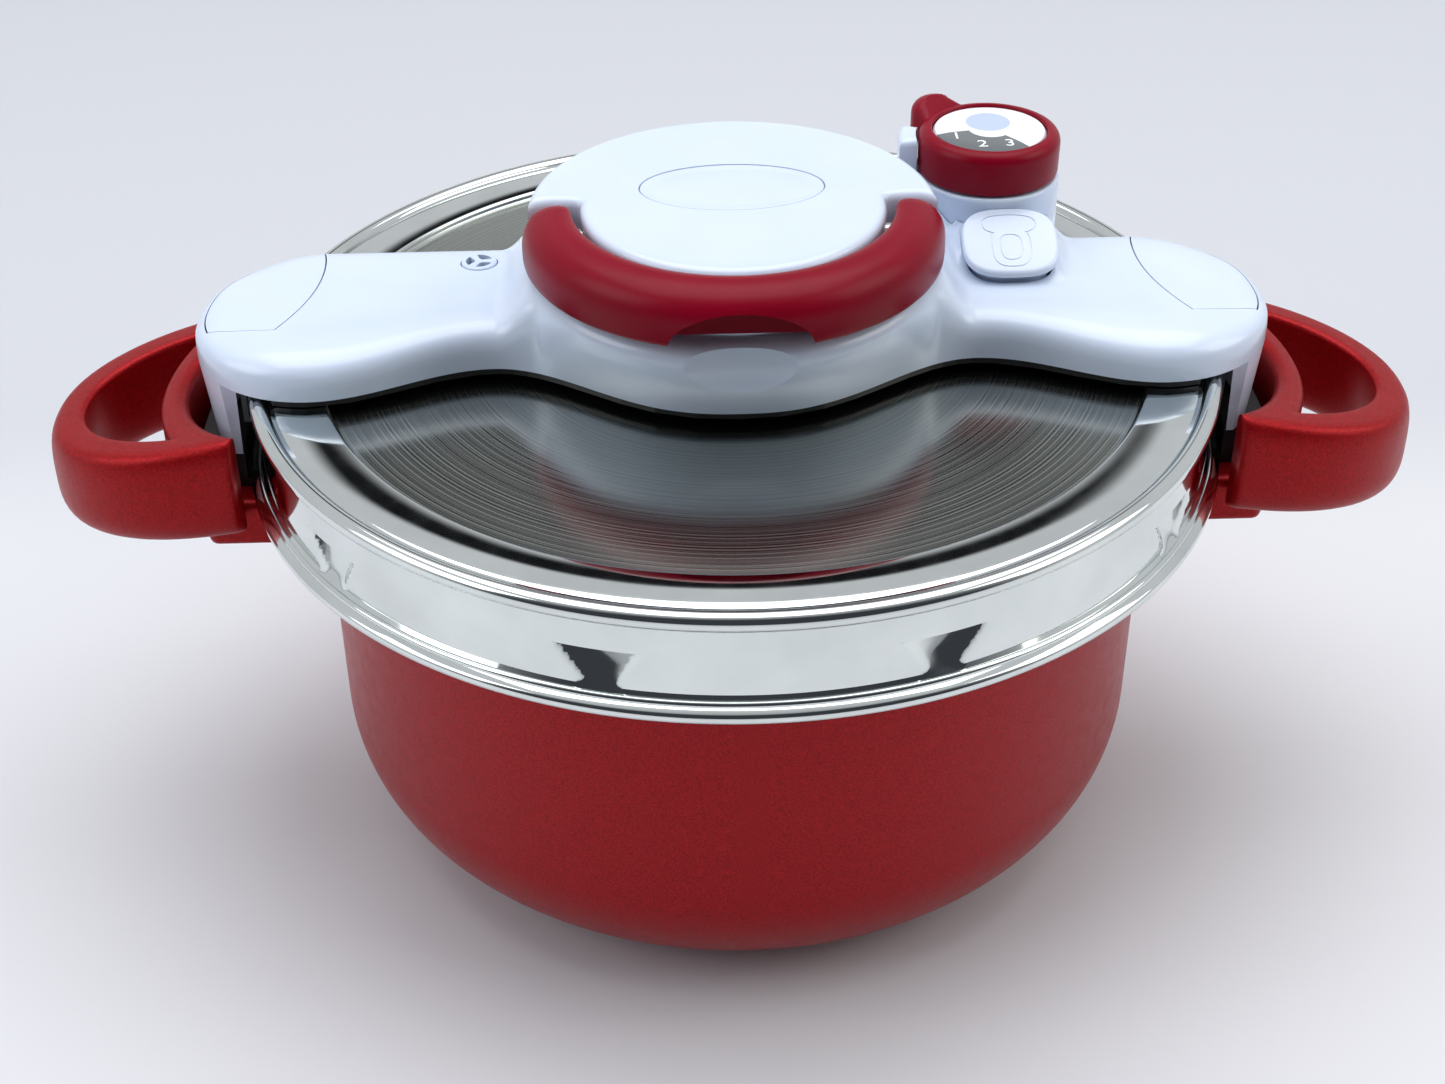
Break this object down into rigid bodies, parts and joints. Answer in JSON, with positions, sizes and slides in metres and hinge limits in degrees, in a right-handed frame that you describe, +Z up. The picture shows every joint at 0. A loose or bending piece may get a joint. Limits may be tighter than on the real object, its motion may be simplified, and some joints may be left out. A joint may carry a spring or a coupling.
{
  "type": "pressure cooker",
  "caption": "Clamp-lid pressure cooker: lacquered pot with side handles, steel lid, white bridge with sliding jaws, folding bail and turning steam valve.",
  "frame": {"origin": "on the table, under the middle of the pot", "axes": "+X along the bridge and from the left handle to the right one, +Y to the back, +Z up"},
  "size_m": [0.3836, 0.2712, 0.1919],
  "materials": {
    "lacquer": "metallic brick red lacquer, satin",
    "handle_red": "moulded plastic with a satin metallic red paint",
    "crimson": "soft-touch crimson plastic",
    "white": "glossy moulded white",
    "steel": "polished stainless steel, faint circular brushing",
    "black": "fine-grained black plastic",
    "silicone": "grey silicone",
    "brass": "turned",
    "grey": "printed dial face"
  },
  "bodies": {
    "pot": {"pot_body": "lacquer", "base_disc": "steel", "side_handle_left": "handle_red", "side_handle_right": "handle_red", "handle_insert_left": "black", "handle_insert_right": "black", "handle_bracket_left": "steel", "handle_bracket_right": "steel", "handle_screw_left": "steel", "handle_screw_right": "steel"},
    "lid": {"beam_cover": "white", "button_guide": "black", "cap_inlay": "white", "end_pad_left": "white", "end_pad_right": "white", "gasket": "silicone", "hub_cap": "white", "indicator_guide": "steel", "indicator_nut": "steel", "lid_bolt_left": "steel", "lid_bolt_right": "steel", "lid_chassis": "black", "lid_nut_left": "steel", "lid_nut_right": "steel", "lid_shell": "steel", "safety_valve": "brass", "safety_valve_nut": "steel", "shaft_bearing_left": "steel", "shaft_bearing_right": "steel", "valve_nozzle": "steel", "valve_nut": "steel", "valve_turret": "white", "vent_grille": "white"},
    "bail": {"bail_handle": "crimson", "bail_shaft": "steel", "cam_left": "steel", "cam_right": "steel"},
    "jaw_left": {"jaw_left": "steel", "drawbar_left": "steel", "jaw_rivet_left": "steel"},
    "jaw_right": {"jaw_right": "steel", "drawbar_right": "steel", "jaw_rivet_right": "steel"},
    "valve": {"valve_knob": "crimson", "valve_dial": "grey"},
    "indicator": {"indicator_pin": "crimson"},
    "button": {"release_button": "white"}
  },
  "joints": [
    {"name": "lid_lift", "type": "slide", "parent": "pot", "child": "lid", "axis": [0, 0, 1], "range_m": [0, 0.15]},
    {"name": "bail_open", "type": "hinge", "parent": "lid", "child": "bail", "pos_m": [0, -0.006, 0.18], "axis": [-1, 0, 0], "range_deg": [0, 90]},
    {"name": "jaw_left_slide", "type": "slide", "parent": "lid", "child": "jaw_left", "axis": [-1, 0, 0], "range_m": [0, 0.0035]},
    {"name": "jaw_right_slide", "type": "slide", "parent": "lid", "child": "jaw_right", "axis": [1, 0, 0], "range_m": [0, 0.0035]},
    {"name": "valve_turn", "type": "hinge", "parent": "lid", "child": "valve", "pos_m": [0.07431, 0.04085, 0.1769], "axis": [0, 0, 1], "range_deg": [-120, 0]},
    {"name": "indicator_rise", "type": "slide", "parent": "lid", "child": "indicator", "axis": [0, 0, 1], "range_m": [0, 0.0025]},
    {"name": "button_press", "type": "slide", "parent": "lid", "child": "button", "axis": [0, 0, -1], "range_m": [0, 0.002], "stiffness_N_per_m": 300}
  ],
  "couplings": [
    {"joint": "jaw_left_slide", "follows": "bail_open", "m_per_rad": 0.002228},
    {"joint": "jaw_right_slide", "follows": "bail_open", "m_per_rad": 0.002228}
  ]
}
